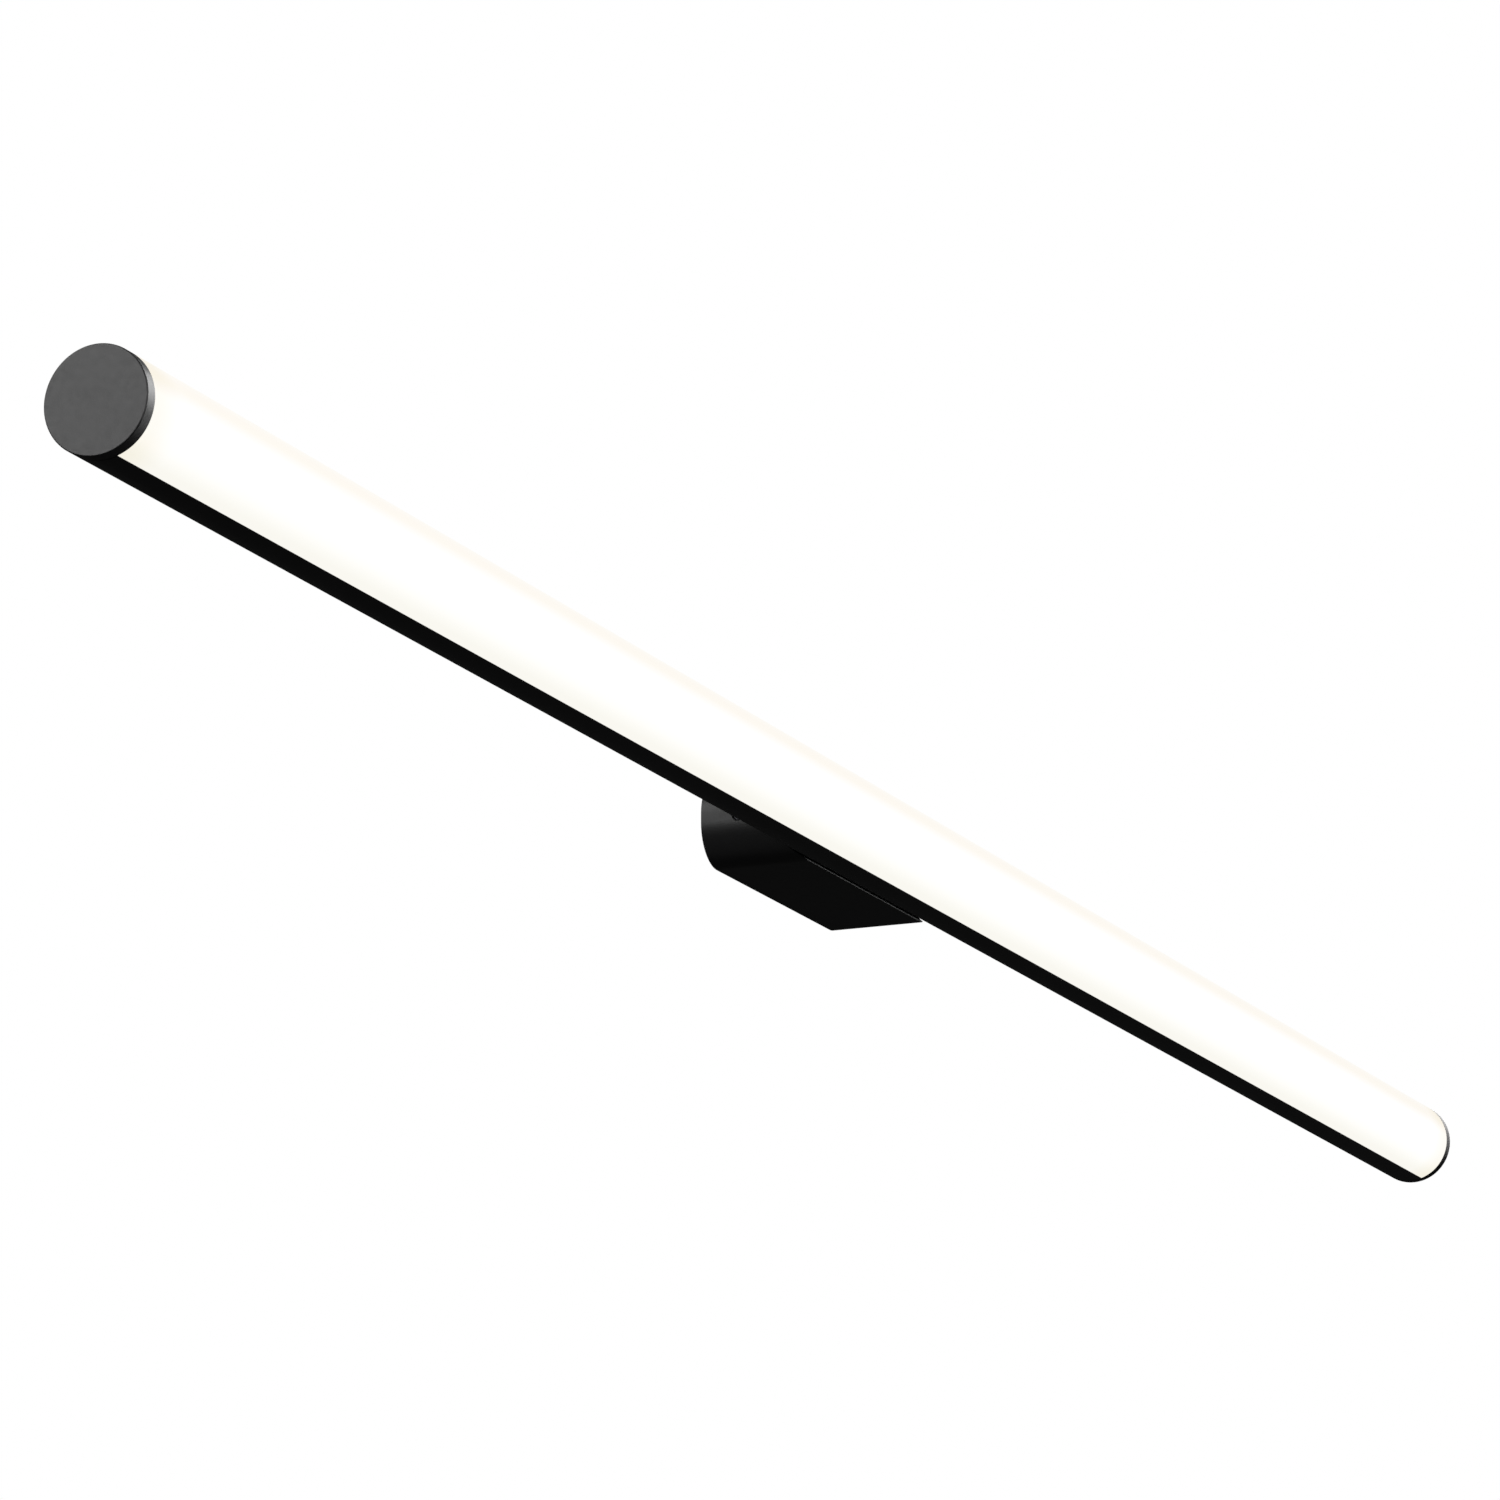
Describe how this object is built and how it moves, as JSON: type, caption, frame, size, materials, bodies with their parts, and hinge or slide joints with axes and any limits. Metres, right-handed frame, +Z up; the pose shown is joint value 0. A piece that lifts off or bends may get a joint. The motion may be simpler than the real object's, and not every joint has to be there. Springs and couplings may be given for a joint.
{
  "type": "vanity light bar",
  "caption": "Long round LED wall bar with an opal front, black caps and housing, held off the wall by a small round-ended canopy.",
  "frame": {"origin": "middle of the wall bracket's wall face, on the wall plane", "axes": "+X along the bar towards its right end, +Y into the wall, +Z up"},
  "size_m": [1.2, 0.0604, 0.0336],
  "materials": {
    "black_powder_coat": "satin black powder coat on aluminium",
    "opal_diffuser": "opal polycarbonate, satin, lit from within",
    "black_rubber": "matt black silicone rubber",
    "grey_foam": "closed-cell foam",
    "board_white": "white solder mask with warm white LED packages",
    "board_green": "green solder mask",
    "connector_white": "moulded nylon, natural white",
    "zinc_steel": "bright zinc-plated steel",
    "black_oxide": "black oxide on hardened steel",
    "driver_white": "moulded white polycarbonate",
    "transformer_yellow": "yellow winding tape on a ferrite core",
    "component_black": "black shrink sleeve",
    "terminal_natural": "translucent natural polyamide",
    "lead_red": "red lead insulation",
    "lead_black": "black lead insulation",
    "lead_brown": "brown lead insulation",
    "lead_blue": "blue lead insulation"
  },
  "bodies": {
    "wall_side": {"wall_bracket": "zinc_steel", "supply_grommet": "black_rubber"},
    "luminaire": {"bar_screw_left": "zinc_steel", "bar_screw_right": "zinc_steel", "bar_washer_left": "zinc_steel", "bar_washer_right": "zinc_steel", "board_link_1": "connector_white", "board_link_2": "connector_white", "board_link_3": "connector_white", "board_screw_1": "zinc_steel", "board_screw_2": "zinc_steel", "board_screw_3": "zinc_steel", "board_screw_4": "zinc_steel", "board_screw_5": "zinc_steel", "board_screw_6": "zinc_steel", "board_screw_7": "zinc_steel", "board_screw_8": "zinc_steel", "canopy_cover": "black_powder_coat", "channel_nut_left": "zinc_steel", "channel_nut_right": "zinc_steel", "diffuser": "opal_diffuser", "driver_board": "board_green", "driver_capacitor": "component_black", "driver_case": "driver_white", "driver_choke": "component_black", "driver_lid": "driver_white", "driver_pad_left": "grey_foam", "driver_pad_right": "grey_foam", "driver_transformer": "transformer_yellow", "end_cap_left": "black_powder_coat", "end_cap_right": "black_powder_coat", "end_seal_left": "black_rubber", "end_seal_right": "black_rubber", "housing_profile": "black_powder_coat", "input_connector": "connector_white", "lead_grommet": "black_rubber", "led_board_1": "board_white", "led_board_2": "board_white", "led_board_3": "board_white", "led_board_4": "board_white", "led_lead_negative": "lead_black", "led_lead_positive": "lead_red", "mains_lead_live": "lead_brown", "mains_lead_neutral": "lead_blue", "terminal_block": "terminal_natural", "terminal_fixing_screw": "zinc_steel", "terminal_screw_live": "zinc_steel", "terminal_screw_neutral": "zinc_steel", "wall_gasket": "grey_foam"},
    "screw_left": {"retaining_screw_left": "black_oxide"},
    "screw_right": {"retaining_screw_right": "black_oxide"}
  },
  "joints": [
    {"name": "pull_off", "type": "slide", "parent": "wall_side", "child": "luminaire", "axis": [0, -1, 0], "range_m": [0, 0.05]},
    {"name": "retaining_screw_left", "type": "slide", "parent": "luminaire", "child": "screw_left", "axis": [-1, 0, 0], "range_m": [0, 0.004]},
    {"name": "retaining_screw_right", "type": "slide", "parent": "luminaire", "child": "screw_right", "axis": [1, 0, 0], "range_m": [0, 0.004]}
  ]
}
